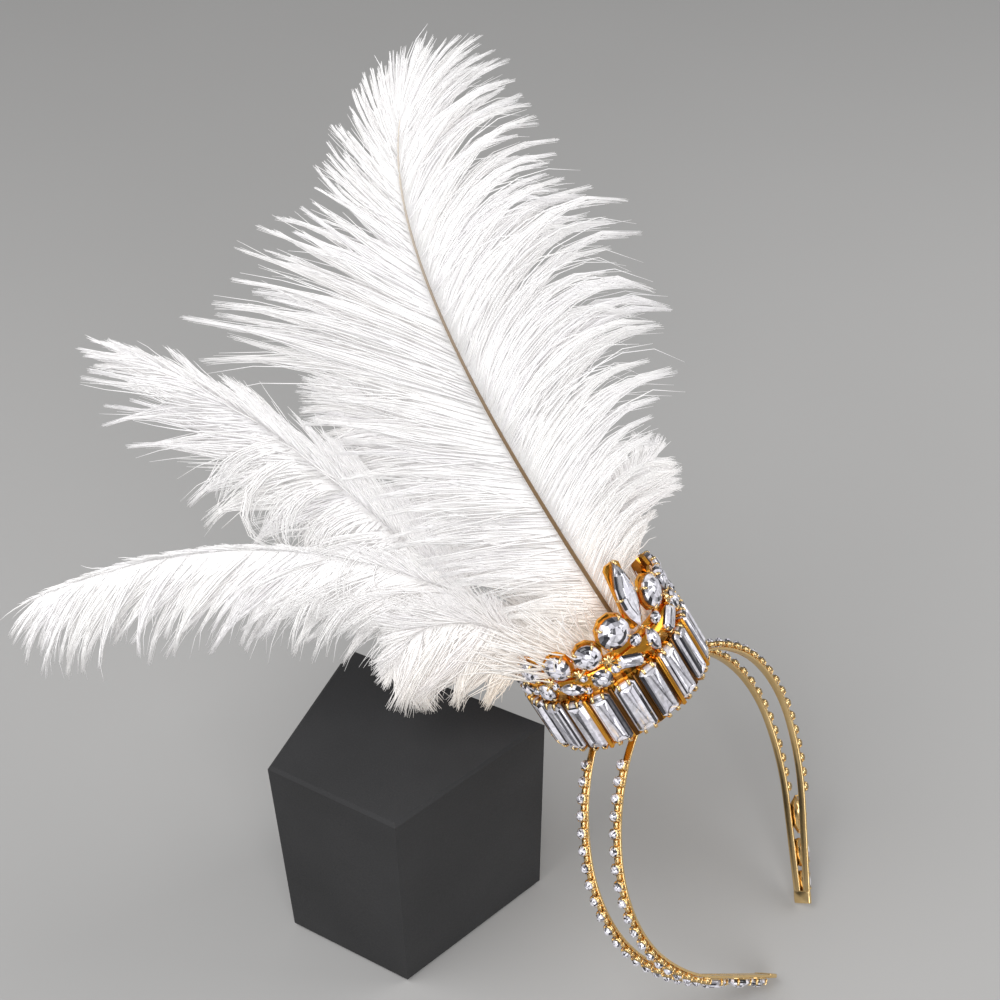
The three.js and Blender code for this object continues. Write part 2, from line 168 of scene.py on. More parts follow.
def crystal_finish():
    """Foiled glass with painted light: every facet has its own painted reflection tone, clouded a little by
    a painted refraction of the cut of the far side, and it glows faintly in its own colour.
    """
    bright, lavender, dark = (0.98, 0.97, 1.0, 1), (0.82, 0.8, 0.93, 1), (0.012, 0.012, 0.017, 1)
    finish = Finish("foiled_crystal")
    # Painted refraction: cells stand for the cut of the far side seen through the stone
    far_side_refraction = finish.node("ShaderNodeSeparateColor", 0, {}, {0: finish.cells(900.0)})
    # Painted reflections: the facet attribute gives each facet its own light or dark tone
    tone = finish.attribute("facet") * (0.75 + far_side_refraction * 0.35)
    light = finish.mix(finish.noise(160.0), bright, lavender)
    colour = finish.mix(tone, dark, light)
    return finish.shade({
        "Base Color": colour,
        "Metallic": 0.4,
        "Roughness": 0.05,
        "Coat Weight": 0.6,
        "Coat Roughness": 0.02,
        # Painted light: the painted facet colour also glows, for brighter glints
        "Emission Color": colour,
        "Emission Strength": 0.22,
    })


def feather_finish():
    """Soft white barbs with a faint lavender tone, tinted by painted reflected light from the gold next to
    the crown, with a faint painted glow.
    """
    white, lavender, reflected_gold = (0.985, 0.975, 0.97, 1), (0.92, 0.905, 0.93, 1), (0.95, 0.76, 0.52, 1)
    finish = Finish("feather_white")
    plain = finish.mix(finish.attribute("tone"), white, lavender)
    return finish.shade({
        # Painted reflected light: the gold's warm colour, mixed in next to the crown
        "Base Color": finish.mix(finish.attribute("gold_reflection"), plain, reflected_gold),
        "Roughness": 0.8,
        "Specular IOR Level": 0.15,
        # Painted light: a faint white glow that lifts the shade between the barbs
        "Emission Color": (1.0, 0.98, 0.97, 1),
        "Emission Strength": 0.12,
    })


def quill_finish():
    """Horn-coloured shaft, dark at the foot and pale towards the tip."""
    brown, pale, tan = (0.16, 0.09, 0.035, 1), (0.9, 0.85, 0.78, 1), (0.45, 0.31, 0.16, 1)
    finish = Finish("quill_horn")
    along = finish.attribute("along")
    late = along * along
    streak = finish.noise(900.0)
    horn = finish.mix(late * late, brown, pale)
    return finish.shade({
        "Base Color": finish.mix(streak * 0.25, horn, tan),
        "Roughness": 0.42,
    })


def block_finish():
    """Matte black paint over board, with a faint cloudy sheen."""
    black, sheen = (0.012, 0.012, 0.013, 1), (0.03, 0.03, 0.032, 1)
    finish = Finish("block_black")
    cloud = finish.noise(26.0)
    grain = finish.noise(1500.0, 4.0)
    return finish.shade({
        "Base Color": finish.mix(cloud, black, sheen),
        "Roughness": 0.55 + grain * 0.25,
        "Normal": finish.bump(grain, 0.25, 0.2),
    })


def floor_finish():
    """Plain pale paper."""
    finish = Finish("pale_floor")
    return finish.shade({
        "Base Color": finish.mix(finish.noise(3.0), grey(0.4, 0.01), grey(0.43, 0.01)),
        "Roughness": 0.8,
    })


GOLD = gold_finish("gold_plating", (0.95, 0.72, 0.38, 1), (0.84, 0.56, 0.23, 1))
AMBER_GOLD = gold_finish("amber_gold_plating", (0.95, 0.49, 0.08, 1), (0.75, 0.3, 0.025, 1))
# Painted shade: a dark copy of the gold, for the flush bars down in the gaps between baguettes
SHADED_GOLD = gold_finish("shaded_gold", (0.2, 0.09, 0.025, 1), (0.1, 0.04, 0.01, 1))
CRYSTAL = crystal_finish()
FEATHER = feather_finish()
QUILL = quill_finish()


# Pieces

def select_none():
    bpy.ops.object.select_all(action="DESELECT")


def array_mesh(name, points, triangles):
    mesh = bpy.data.meshes.new(name)
    mesh.vertices.add(len(points))
    mesh.vertices.foreach_set("co", np.asarray(points, np.float32).ravel())
    mesh.loops.add(triangles.size)
    mesh.loops.foreach_set("vertex_index", triangles.astype(np.int32).ravel())
    mesh.polygons.add(len(triangles))
    mesh.polygons.foreach_set("loop_start", np.arange(0, triangles.size, 3, dtype=np.int32))
    mesh.update(calc_edges=True)
    return mesh


def add_attribute(mesh, name, domain, values):
    mesh.attributes.new(name, "FLOAT", domain).data.foreach_set("value", np.asarray(values, np.float32))


def add_piece(name, mesh, material, replaced=()):
    """Makes a piece of the object from a mesh that is already in place."""
    piece = bpy.data.objects.new(name, mesh)
    bpy.context.scene.collection.objects.link(piece)
    mesh.materials.clear()
    mesh.materials.append(material)
    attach(piece, ROOT)
    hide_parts(*replaced)


# Plumes

# They stand in a fan that is turned about the crown's axis: out runs to the left and back, up along the
# crown's axis, and layer sets one plume behind another. The fan bows back with the square of out.
FAN = math.radians(43)
FAN_OUT = np.array([-math.cos(FAN), math.sin(FAN), 0.0])
FAN_BACK = np.array([math.sin(FAN), math.cos(FAN), 0.0])
FAN_BOW = 0.0011
QUILL_FOOT = 2.6
QUILL_RADIUS = (0.9, 0.26)
QUILL_PALES_FROM = 30

# root: the foot's out, then the out and up that the quill first heads for. bend: the out and up that pull it
# over before its tip. first: share of the quill below the vane. out and in: the vane's two sides, with rows
# of share along the vane, barb length, the angle at which a barb leaves the quill, and how far it turns away
# by its tip. barbs, gather and wild: for each side, how many barbs there are, how far they gather into
# locks, and how freely they spread. locks: how many locks each side has. tilt: how far the vane turns behind
# the fan. sunk: how far the quill lies behind its barbs. pale: its least paleness.
PLUMES = [
    {"name": "main", "layer": -14, "root": (-9, -8, 90), "bend": (-2, 188), "tip": (-35, 221), "first": 0.12,
     "out": ((0, 36, 46, 16), (0.09, 45, 52, 24), (0.2, 56, 54, 22), (0.3, 58, 50, 22), (0.37, 61, 46, 16),
             (0.42, 99, 39, 18), (0.5, 79, 37, 14), (0.59, 58, 38, 8), (0.69, 39, 36, -2),
             (0.82, 31, 32, -14), (0.93, 23, 24, -12), (1, 19, 2, -1)),
     "in": ((0, 26, 30, 20), (0.09, 40, 48, 50), (0.23, 66, 52, 78), (0.365, 77, 47, 88), (0.5, 75, 43, 86),
            (0.58, 69, 39, 82), (0.69, 61, 35, 72), (0.82, 52, 30, 58), (0.93, 38, 23, 34), (1, 22, 1, 6)),
     "barbs": (3600, 3800), "gather": (0.92, 0.92), "wild": (0.5, 0.6), "locks": 110, "tilt": 4, "sunk": 0,
     "pale": 0.0},
    {"name": "right", "layer": -5, "root": (-14, -15, 60), "bend": (-28, 78), "tip": (-48, 76), "first": 0.3,
     "out": ((0, 18, 40, 30), (0.5, 23, 46, 30), (1, 10, 20, 10)),
     "in": ((0, 24, 40, 30), (0.5, 26, 50, 30), (1, 11, 24, 20)),
     "barbs": (800, 900), "gather": (0.7, 0.8), "wild": (1.4, 1.4), "locks": 20, "tilt": -4, "sunk": 2,
     "pale": 0.95},
    {"name": "fluff", "layer": -5, "root": (12, 20, 62), "bend": (45, 80), "tip": (66, 60), "first": 0.25,
     "out": ((0, 32, 76, 30), (0.2, 37, 68, 34), (0.4, 37, 56, 38), (0.8, 26, 40, 24), (1, 13, 24, 14)),
     "in": ((0, 30, 14, 4), (0.4, 26, 10, -4), (0.8, 16, 12, -8), (1, 10, 10, 0)),
     "barbs": (1500, 900), "gather": (0.8, 0.3), "wild": (1.8, 1.4), "locks": 34, "tilt": -6, "sunk": 2.5,
     "pale": 0.95},
    {"name": "low", "layer": 3, "root": (8, 26, 88), "bend": (80, 140), "tip": (158, 141), "first": 0.26,
     "out": ((0, 36, 50, 30), (0.2, 47, 46, 30), (0.6, 50, 38, 30), (0.78, 53, 35, 30), (0.9, 42, 30, 28),
             (1, 20, 14, 16)),
     "in": ((0, 30, 34, 0), (0.15, 22, 16, -6), (0.3, 16, 9, -6), (0.6, 14, 8, -8), (0.85, 12, 8, -8),
            (1, 10, 6, -6)),
     "barbs": (3400, 900), "gather": (0.95, 0.2), "wild": (0.7, 0.2), "locks": 62, "tilt": -5, "sunk": 2,
     "pale": 0.95},
    {"name": "left", "layer": 11, "root": (6, 46, 80), "bend": (42, 150), "tip": (80, 196), "first": 0.26,
     "out": ((0, 30, 60, 60), (0.2, 38, 60, 80), (0.42, 42, 52, 60), (0.5, 54, 34, 10), (0.62, 56, 28, 2),
             (0.75, 46, 22, 0), (0.88, 32, 14, 4), (1, 20, 8, 6)),
     "in": ((0, 30, 34, 0), (0.3, 40, 18, -20), (0.55, 34, 13, -15), (0.75, 26, 10, -11), (1, 18, 5, -2)),
     "barbs": (1300, 1100), "gather": (0.98, 0.1), "wild": (1.4, 0.1), "locks": 26, "tilt": -2, "sunk": 0.8,
     "pale": 0.9},
    {"name": "back", "layer": 18, "root": (-1, 12, 70), "bend": (14, 110), "tip": (24, 148), "first": 0.3,
     "out": ((0, 30, 56, 40), (0.4, 44, 50, 40), (0.8, 34, 34, 20), (1, 18, 20, 0)),
     "in": ((0, 26, 56, 40), (0.4, 40, 50, 40), (0.8, 32, 34, 20), (1, 18, 20, 0)),
     "barbs": (1000, 1000), "gather": (0.8, 0.8), "wild": (1.2, 1.2), "locks": 30, "tilt": 0, "sunk": 1,
     "pale": 0.95},
]
# The vane ends just below the quill's tip. Barbs gather into locks over a stretch of their length, and
# sooner near a plume's tip, where locks are finer. A few barbs stay loose.
VANE_LAST = 0.985
GATHER_SPAN = (0.42, 0.88)
GATHER_SOONER = 0.3
GATHER_RANGE = (0.9, 1.02)
LOCK_FINENESS = 2.0
LOOSE_BARBS = {"share": 0.06, "wild": 1.6, "gather": 0.2}
# How locks differ: length, where the middle lies between the edges, and for each angle the least spread and
# what wildness adds to it
LOCK_LENGTH = (0.8, 1.1)
LOCK_MIDDLE = (0.25, 0.75)
LOCK_SPREAD = {"leave": (0.6, 2.5), "droop": (4, 10), "tilt": (1.5, 3)}
# How barbs differ within a lock: how far wild ones stray, how many belong to the next lock, how much shorter
# they can be, how far they waver, and their tone with its spread
STRAY = {"leave": 4, "leave_at_tip": 6, "droop": 8, "tilt": 4, "limit": 2}
LOCK_MIXING = 0.3
SHORTENING = 0.38
WAVER = {"most": 0.38, "less_at_tip": 0.7}
TONE = (0.25, 0.15)
# Barbs bend late, turn partly back into the fan, are flat, and taper
LATE_BEND = 1.7
TILT_LOSS = 0.5
BARB_RADIUS = (0.46, 0.06)
BARB_TAPER = 1.4
BARB_THICKNESS = (0.8, 1.2)
BARB_FLATNESS = 0.3
BARB_STATIONS = 6
BARB_ALONG = np.linspace(0, 1, BARB_STATIONS + 1)[:, None]
TUBE_SIDES = 3


def blend(ends, share):
    return ends[0] + (ends[1] - ends[0]) * share


def fan_to_part(flat, layer):
    """Takes (out, up, behind) of the fan to metres in the part's frame."""
    out, up, behind = np.moveaxis(np.asarray(flat, float), -1, 0)
    depth = layer + behind + FAN_BOW * out ** 2
    points = out[..., None] * FAN_OUT + depth[..., None] * FAN_BACK
    points[..., 2] += up
    return to_part(points)


def quill_corners(plume):
    foot, out, up = plume["root"]
    return np.array([(foot, QUILL_FOOT), (out, up), plume["bend"], plume["tip"]], float)


def quill_line(plume, share):
    """Points (out, up) of the quill's curve and its headings there."""
    a, b, c, d = quill_corners(plume)
    t = np.asarray(share)[:, None]
    s = 1 - t
    points = s ** 3 * a + 3 * s ** 2 * t * b + 3 * s * t ** 2 * c + t ** 3 * d
    slopes = s ** 2 * (b - a) + 2 * s * t * (c - b) + t ** 2 * (d - c)
    return points, np.arctan2(slopes[:, 1], slopes[:, 0])


def barb_lines(plume, side, share, form):
    """Middle lines of barbs (barb, station, out-up-behind) that grow at shares of the vane."""
    root, heading = quill_line(plume, blend((plume["first"], VANE_LAST), share))
    w = (np.arange(BARB_STATIONS) + 0.5) / BARB_STATIONS
    bend = form["leave"][:, None] + form["droop"][:, None] * w ** LATE_BEND
    turn = heading[:, None] - side * np.radians(bend)
    tilt = np.radians(form["tilt"])[:, None] * (1 - TILT_LOSS * w)
    step = form["length"][:, None] / BARB_STATIONS
    moves = np.stack([step * np.cos(turn) * np.cos(tilt), step * np.sin(turn) * np.cos(tilt),
                      step * np.sin(tilt)], -1)
    start = np.concatenate([root, np.zeros((len(root), 1))], -1)[:, None]
    return np.concatenate([start, start + np.cumsum(moves, 1)], 1)


def gather_into_locks(lines, centres, lock, share, shortening, gather):
    """Draws barbs towards the middle lines of their locks, more and more along their length."""
    along_lock = BARB_ALONG * shortening[:, None, None] * BARB_STATIONS
    below = np.minimum(along_lock.astype(int), BARB_STATIONS - 1)
    ahead = along_lock - below
    own = lock[:, None]
    steps = below[:, :, 0]
    guide = centres[own, steps] * (1 - ahead) + centres[own, steps + 1] * ahead
    sooner = GATHER_SOONER * share[:, None, None] ** 4
    pull = np.clip((BARB_ALONG + sooner - GATHER_SPAN[0]) / (GATHER_SPAN[1] - GATHER_SPAN[0]), 0, 1)
    return lines + (guide - lines) * gather[:, None, None] * pull ** 2 * (3 - 2 * pull)


def vane_lines(plume, side, random):
    """All barbs of one side: loose ones, and ones gathered into locks. Gives lines and tones."""
    key, own_side = ("out", 0) if side > 0 else ("in", 1)
    rows = np.array(plume[key], float)
    count, gathered, wildness = (plume[name][own_side] for name in ("barbs", "gather", "wild"))
    locks = plume["locks"]

    def lock_angles(name):
        least, added = LOCK_SPREAD[name]
        return random.normal(0, least + added * wildness, locks)

    def forms(share, lock, wild, shortening):
        length, leave, droop = (np.interp(share, rows[:, 0], column) for column in rows.T[1:])
        stray = wild * np.clip(random.normal(size=(3, len(share))), -STRAY["limit"], STRAY["limit"])
        leave_stray = STRAY["leave"] + STRAY["leave_at_tip"] * share ** 8
        return {
            "length": length * lock_length[lock] * shortening,
            "leave": leave + lock_leave[lock] + leave_stray * stray[0],
            "droop": droop + lock_droop[lock] + STRAY["droop"] * stray[1],
            "tilt": plume["tilt"] + lock_tilt[lock] + STRAY["tilt"] * stray[2],
        }

    edges = 1 - (1 - np.linspace(0, 1, locks + 1)) ** LOCK_FINENESS
    freedom = np.minimum(1, np.diff(edges) * locks) ** 2
    lock_length = random.uniform(*LOCK_LENGTH, locks)
    lock_leave = freedom * lock_angles("leave")
    lock_droop = freedom * lock_angles("droop")
    lock_tilt = lock_angles("tilt")
    middles = edges[:-1] + np.diff(edges) * random.uniform(*LOCK_MIDDLE, locks)
    centres = barb_lines(plume, side, middles, forms(middles, np.arange(locks), 0.0, 1.0))

    share = np.sort(random.uniform(0, 1, count))
    nearest = np.interp(share, edges, np.arange(locks + 1)) + random.normal(0, LOCK_MIXING, count)
    lock = np.clip(nearest.astype(int), 0, locks - 1)
    loose = random.uniform(0, 1, count) < LOOSE_BARBS["share"]
    shortening = 1 - SHORTENING * random.uniform(0, 1, count) ** 2
    wild = np.where(loose, LOOSE_BARBS["wild"], wildness)
    lines = barb_lines(plume, side, share, forms(share, lock, wild, shortening))
    gather = np.where(loose, LOOSE_BARBS["gather"], gathered * random.uniform(*GATHER_RANGE, count))
    lines = gather_into_locks(lines, centres, lock, share, shortening, gather)
    calm = 1 - WAVER["less_at_tip"] * share
    lines += random.normal(0, WAVER["most"], lines.shape) * BARB_ALONG * calm[:, None, None]
    middle, spread = TONE
    tone = middle + spread * random.normal(size=locks)[lock] + spread * random.normal(size=count)
    return lines, np.clip(tone, 0, 1)


def tubes(lines, radii):
    """Closed, flattened three-sided tubes along many lines at once: points and triangles."""
    barbs, stations = lines.shape[:2]
    ahead = np.gradient(lines, axis=1)
    ahead /= np.linalg.norm(ahead, axis=-1, keepdims=True)
    behind = to_part(FAN_BACK) - to_part(np.zeros(3))
    side = np.cross(ahead, behind)
    side /= np.linalg.norm(side, axis=-1, keepdims=True)
    rise = np.cross(ahead, side)
    turn = 2 * math.pi * np.arange(TUBE_SIDES) / TUBE_SIDES
    ring = (np.cos(turn)[:, None] * side[:, :, None]
            + BARB_FLATNESS * np.sin(turn)[:, None] * rise[:, :, None])
    points = lines[:, :, None] + radii[:, :, None, None] * ring
    first = np.arange(stations - 1)[:, None] * TUBE_SIDES + np.arange(TUBE_SIDES)
    second = np.arange(stations - 1)[:, None] * TUBE_SIDES + (np.arange(TUBE_SIDES) + 1) % TUBE_SIDES
    low = np.stack([first, second, second + TUBE_SIDES], -1).reshape(-1, 3)
    high = np.stack([first, second + TUBE_SIDES, first + TUBE_SIDES], -1).reshape(-1, 3)
    last = (stations - 1) * TUBE_SIDES
    one = np.concatenate([low, high, [[0, 2, 1], [last, last + 1, last + 2]]])
    offsets = np.arange(barbs)[:, None, None] * stations * TUBE_SIDES
    return points.reshape(-1, 3), (one[None] + offsets).reshape(-1, 3)


# Painted reflected light: barbs take a warm tint from the gold next to the crown: how much, from which
# height, and how soon it fades
GOLD_REFLECTION = {"most": 0.5, "from": 34, "fade": 13}


def barb_piece(name, lines, heights, tone, random, replaced=(), width=1.0):
    """Barbs as one piece, from lines in the part's frame and their heights over the crown's foot."""
    w = np.linspace(0, 1, lines.shape[1])
    taper = blend(BARB_RADIUS, w ** BARB_TAPER)
    radii = width * taper * random.uniform(*BARB_THICKNESS, (len(lines), 1))
    points, triangles = tubes(lines, radii * MM)
    mesh = array_mesh(name, points, triangles)
    # Painted reflected light from the gold, strongest low down by the crown
    gold_reflection = GOLD_REFLECTION["most"] * np.exp(-np.clip(heights - GOLD_REFLECTION["from"], 0, None) / GOLD_REFLECTION["fade"])
    add_attribute(mesh, "tone", "POINT", np.repeat(tone, lines.shape[1] * TUBE_SIDES))
    add_attribute(mesh, "gold_reflection", "POINT", np.repeat(gold_reflection.ravel(), TUBE_SIDES))
    add_piece(name, mesh, FEATHER, replaced)


def vane_piece(plume, side, name, random, replaced):
    lines, tone = vane_lines(plume, side, random)
    barb_piece(name, fan_to_part(lines, plume["layer"]), lines[:, :, 1], tone, random, replaced)


# Down that fills the crown's mouth: where it grows, how long and wide it is, and how far it leans on the
# right and on the left. Before the tall plume's quill it is short, so that the quill shows.
DOWN = {"barbs": 2300, "foot": (24, 33), "radius": 23.5, "length": (14, 40), "right_length": 0.6,
        "lean": (4, 42), "lean_range": (-8, 8), "curl": (-10, 16), "heading_rad": 0.7, "twist_rad": 0.35,
        "tone": (0.25, 0.12), "width": 1.9, "stations": 5}
SHORT_DOWN = {"before_layer": -11, "right_of": 3, "length": 0.35}


def down_piece(random):
    count = DOWN["barbs"]
    around = random.uniform(0, 2 * math.pi, count)
    radius = DOWN["radius"] * np.sqrt(random.uniform(0, 1, count))
    height = random.uniform(*DOWN["foot"], count)
    foot = np.stack([radius * np.cos(around), radius * np.sin(around), height], -1)
    leftward = np.clip(0.5 + 0.5 * foot @ FAN_OUT / DOWN["radius"], 0, 1)
    heading = math.atan2(FAN_OUT[1], FAN_OUT[0]) + random.normal(0, DOWN["heading_rad"], count)
    lean = np.radians(blend(DOWN["lean"], leftward) + random.uniform(*DOWN["lean_range"], count))
    w = (np.arange(DOWN["stations"]) + 0.5) / DOWN["stations"]
    slope = lean[:, None] + np.radians(random.uniform(*DOWN["curl"], count))[:, None] * w
    turn = heading[:, None] + random.normal(0, DOWN["twist_rad"], count)[:, None] * w
    short = (foot @ FAN_BACK < SHORT_DOWN["before_layer"]) & (foot @ FAN_OUT < SHORT_DOWN["right_of"])
    length = random.uniform(*DOWN["length"], count) * blend((DOWN["right_length"], 1), leftward)
    length = np.where(short, SHORT_DOWN["length"], 1) * length
    step = (length / DOWN["stations"])[:, None]
    moves = np.stack([step * np.sin(slope) * np.cos(turn), step * np.sin(slope) * np.sin(turn),
                      step * np.cos(slope)], -1)
    lines = np.concatenate([foot[:, None], foot[:, None] + np.cumsum(moves, 1)], 1)
    tone = np.clip(random.normal(*DOWN["tone"], count), 0, 1)
    barb_piece("crown_down", to_part(lines), lines[:, :, 2], tone, random, width=DOWN["width"])


# Loose locks: curls under the left plume, and a fringe that hangs from the low plume over the fluff. They
# grow between two shares of the vane. each: how many barbs a lock has. leave, droop and tilt: the middle and
# the spread over the locks.
LOOSE_LOCKS = {
    "left": {"name": "left_curls", "locks": 34, "each": 16, "shares": (0.1, 0.62), "length": (28, 50),
             "leave": (56, 18), "droop": (120, 55), "tilt": (-12, 10)},
    "low": {"name": "low_fringe", "locks": 50, "each": 12, "shares": (0.0, 0.34), "length": (24, 44),
            "leave": (42, 8), "droop": (30, 12), "tilt": (-17, 4)},
}
# How the barbs of one loose lock differ
LOOSE_SPREAD = {"share": 0.012, "shortening": 0.4, "leave": 1.5, "droop": 4, "tilt": 1.5,
                "tone": (0.15, 0.15)}


def loose_piece(plume, form, random):
    locks, each = form["locks"], form["each"]
    count = locks * each
    share = np.repeat(random.uniform(*form["shares"], locks), each)
    share = np.clip(share + random.normal(0, LOOSE_SPREAD["share"], count), 0, 1)

    def angles(name):
        whole_lock = np.repeat(random.normal(*form[name], locks), each)
        return whole_lock + random.normal(0, LOOSE_SPREAD[name], count)

    shortening = 1 - LOOSE_SPREAD["shortening"] * random.uniform(0, 1, count) ** 2
    lines = barb_lines(plume, 1, share, {
        "length": np.repeat(random.uniform(*form["length"], locks), each) * shortening,
        "leave": angles("leave"),
        "droop": angles("droop") * shortening,
        "tilt": angles("tilt"),
    })
    tone = np.clip(random.normal(*LOOSE_SPREAD["tone"], count), 0, 1)
    barb_piece(form["name"], fan_to_part(lines, plume["layer"]), lines[:, :, 1], tone, random)


def quill_piece(plume):
    """A tapered shaft drawn as a curve in the flat fan, then bent with the fan."""
    foot, first, second, tip = quill_corners(plume)
    select_none()
    bpy.ops.curve.primitive_bezier_curve_add()
    shaft = bpy.context.object
    shaft.data.bevel_depth = 1.0
    shaft.data.bevel_resolution = 2
    shaft.data.resolution_u = 40
    shaft.data.use_fill_caps = True
    low, high = shaft.data.splines[0].bezier_points
    for point, place, before, after, radius in (
            (low, foot, 2 * foot - first, first, QUILL_RADIUS[0]),
            (high, tip, second, 2 * tip - second, QUILL_RADIUS[1])):
        point.handle_left_type = "FREE"
        point.handle_right_type = "FREE"
        point.co = (*place, plume["sunk"])
        point.handle_left = (*before, plume["sunk"])
        point.handle_right = (*after, plume["sunk"])
        point.radius = radius
    bpy.ops.object.convert(target="MESH")
    mesh = bpy.context.object.data.copy()
    bpy.data.objects.remove(bpy.context.object)
    flat = np.array([vertex.co for vertex in mesh.vertices])
    mesh.vertices.foreach_set("co", fan_to_part(flat, plume["layer"]).astype(np.float32).ravel())
    rise = flat[:, 1] - QUILL_PALES_FROM
    along = np.clip(rise / rise.max(), 0, 1)
    add_attribute(mesh, "along", "POINT", np.maximum(along, plume["pale"]))
    mesh.shade_smooth()
    add_piece(plume["name"] + "_quill", mesh, QUILL)


for number, row in enumerate(PLUMES):
    chance = draws("plumes", number)
    node = row["name"] + "_plume"
    vane_piece(row, 1, row["name"] + "_barbs_out", chance, [node])
    vane_piece(row, -1, row["name"] + "_barbs_in", chance, [node])
    quill_piece(row)
    if row["name"] in LOOSE_LOCKS:
        loose_piece(row, LOOSE_LOCKS[row["name"]], draws("loose"))
down_piece(draws("down"))


# Modelled shapes: small masters in millimetres, taken up as triangles and placed as often as they are needed

# Least Z of the normal of a face that faces up, and of one that lies level
FACES_UP = 0.6
LIES_LEVEL = 0.99


def add_shape(add, **settings):
    """Adds a primitive at its size and place, with nothing else selected and its origin left at zero."""
    select_none()
    add(**settings)
    bpy.ops.object.transform_apply(location=True, rotation=False, scale=True)
    return bpy.context.object


def pick_faces(shape, wanted):
    """Selects, in edit mode, the faces whose normal passes a test."""
    bpy.ops.object.mode_set(mode="EDIT")
    bpy.ops.mesh.select_mode(type="FACE")
    bpy.ops.mesh.select_all(action="DESELECT")
    bpy.ops.object.mode_set(mode="OBJECT")
    for face in shape.data.polygons:
        face.select = wanted(face.normal)
    bpy.ops.object.mode_set(mode="EDIT")


def faces_up(normal):
    return normal.z > FACES_UP


def move(offset):
    bpy.ops.transform.translate(value=offset)


def grow(factors):
    bpy.ops.transform.resize(value=factors, center_override=(0, 0, 0))


def extrude(offset):
    bpy.ops.mesh.extrude_region_move(TRANSFORM_OT_translate={"value": offset})


def apply_modifier(shape, kind, **settings):
    modifier = shape.modifiers.new(kind.title(), kind)
    for key, value in settings.items():
        setattr(modifier, key, value)
    bpy.ops.object.modifier_apply(modifier=modifier.name)


def take_up(shape):
    """Takes a modelled shape as points and triangles, with each triangle's flat face and if it is level."""
    mesh = shape.data
    bpy.ops.object.mode_set(mode="EDIT")
    bpy.ops.mesh.select_all(action="SELECT")
    bpy.ops.mesh.normals_make_consistent(inside=False)
    bpy.ops.object.mode_set(mode="OBJECT")
    mesh.attributes.new("face", "INT", "FACE").data.foreach_set("value", np.arange(len(mesh.polygons)))
    bpy.ops.object.mode_set(mode="EDIT")
    bpy.ops.mesh.quads_convert_to_tris(quad_method="SHORTEST_DIAGONAL", ngon_method="BEAUTY")
    bpy.ops.object.mode_set(mode="OBJECT")
    faces = np.empty(len(mesh.polygons), np.int32)
    mesh.attributes["face"].data.foreach_get("value", faces)
    taken = {
        "points": np.array([vertex.co for vertex in mesh.vertices]),
        "triangles": np.array([face.vertices for face in mesh.polygons]),
        "faces": faces,
        "level": np.array([face.normal.z > LIES_LEVEL for face in mesh.polygons]),
    }
    bpy.data.objects.remove(shape)
    return taken


# Painted reflections: tones that a facet can show, and how often on a stone's slopes and on its level table,
# which gets the brighter ones
FACET_REFLECTIONS = (0.02, 0.14, 0.42, 0.72, 0.97)
SLOPE_ODDS = (0.2, 0.16, 0.16, 0.18, 0.3)
TABLE_ODDS = (0.02, 0.04, 0.1, 0.28, 0.56)


class Cluster:
    """Placed copies of shapes, joined into one mesh."""

    def __init__(self):
        self.points, self.triangles, self.painted_reflections = [], [], []
        self.count = 0

    def add(self, shape, place, random=None):
        points = shape["points"] @ place[:3, :3].T + place[:3, 3]
        self.points.append(points)
        self.triangles.append(shape["triangles"] + self.count)
        self.count += len(points)
        if random is not None:
            # Painted reflections: every facet gets its own tone, mostly bright on the level table
            facets = shape["faces"].max() + 1
            slopes = random.choice(FACET_REFLECTIONS, facets, p=SLOPE_ODDS)
            tables = random.choice(FACET_REFLECTIONS, facets, p=TABLE_ODDS)
            self.painted_reflections.append(np.where(shape["level"], tables[shape["faces"]], slopes[shape["faces"]]))

    def piece(self, name, material, slot, replaced=()):
        mesh = array_mesh(name, to_part(np.concatenate(self.points)), np.concatenate(self.triangles))
        if self.painted_reflections:
            add_attribute(mesh, "facet", "FACE", np.concatenate(self.painted_reflections))
        add_piece(name, mesh, material, replaced)


# Stones: outlines run anticlockwise, with X across the stone and Y along it

STONE = {"foot_inset": 0.35, "girdle": 1.4, "corner": 1.3, "oval_sides": 16, "navette_steps": 6}
# Steps of the cut from the girdle up: inset as a share of the smaller size, rise, and if it twists by half a
# facet. A baguette's last step marks the keel that shows through its table.
CUTS = {
    "oval": ((0.13, 0.8, True), (0.12, 0.55, True), (0.03, 0.25, False)),
    "navette": ((0.11, 0.7, False), (0.12, 0.65, False), (0.03, 0.25, False)),
    "baguette": ((0.06, 0.5, False), (0.08, 0.6, False), (0.05, 0.5, False), (0.24, 0.0, False)),
}


def oval_outline(length, width):
    turn = 2 * math.pi * np.arange(STONE["oval_sides"]) / STONE["oval_sides"]
    return np.stack([width / 2 * np.cos(turn), length / 2 * np.sin(turn)], -1)


def navette_outline(length, width):
    t = np.linspace(-1, 1, STONE["navette_steps"] + 1)[:-1]
    side = np.stack([width / 2 * (1 - t * t), length / 2 * t], -1)
    return np.concatenate([side, -side])


def baguette_outline(length, width):
    x, y = width / 2, length / 2
    c = min(STONE["corner"], width / 4)
    corner = np.array([(x, y - c), (x - c, y)])
    opposite = corner[::-1] * (-1, 1)
    return np.concatenate([corner, opposite, -corner, -opposite])


OUTLINES = {"oval": oval_outline, "navette": navette_outline, "baguette": baguette_outline}


def flat_shape(outline):
    """A filled outline on the ground, left in edit mode with its face selected."""
    shape = add_shape(bpy.ops.mesh.primitive_circle_add, vertices=len(outline), fill_type="NGON")
    for vertex, (x, y) in zip(shape.data.vertices, outline):
        vertex.co = (x, y, 0)
    bpy.ops.object.mode_set(mode="EDIT")
    bpy.ops.mesh.select_all(action="SELECT")
    return shape


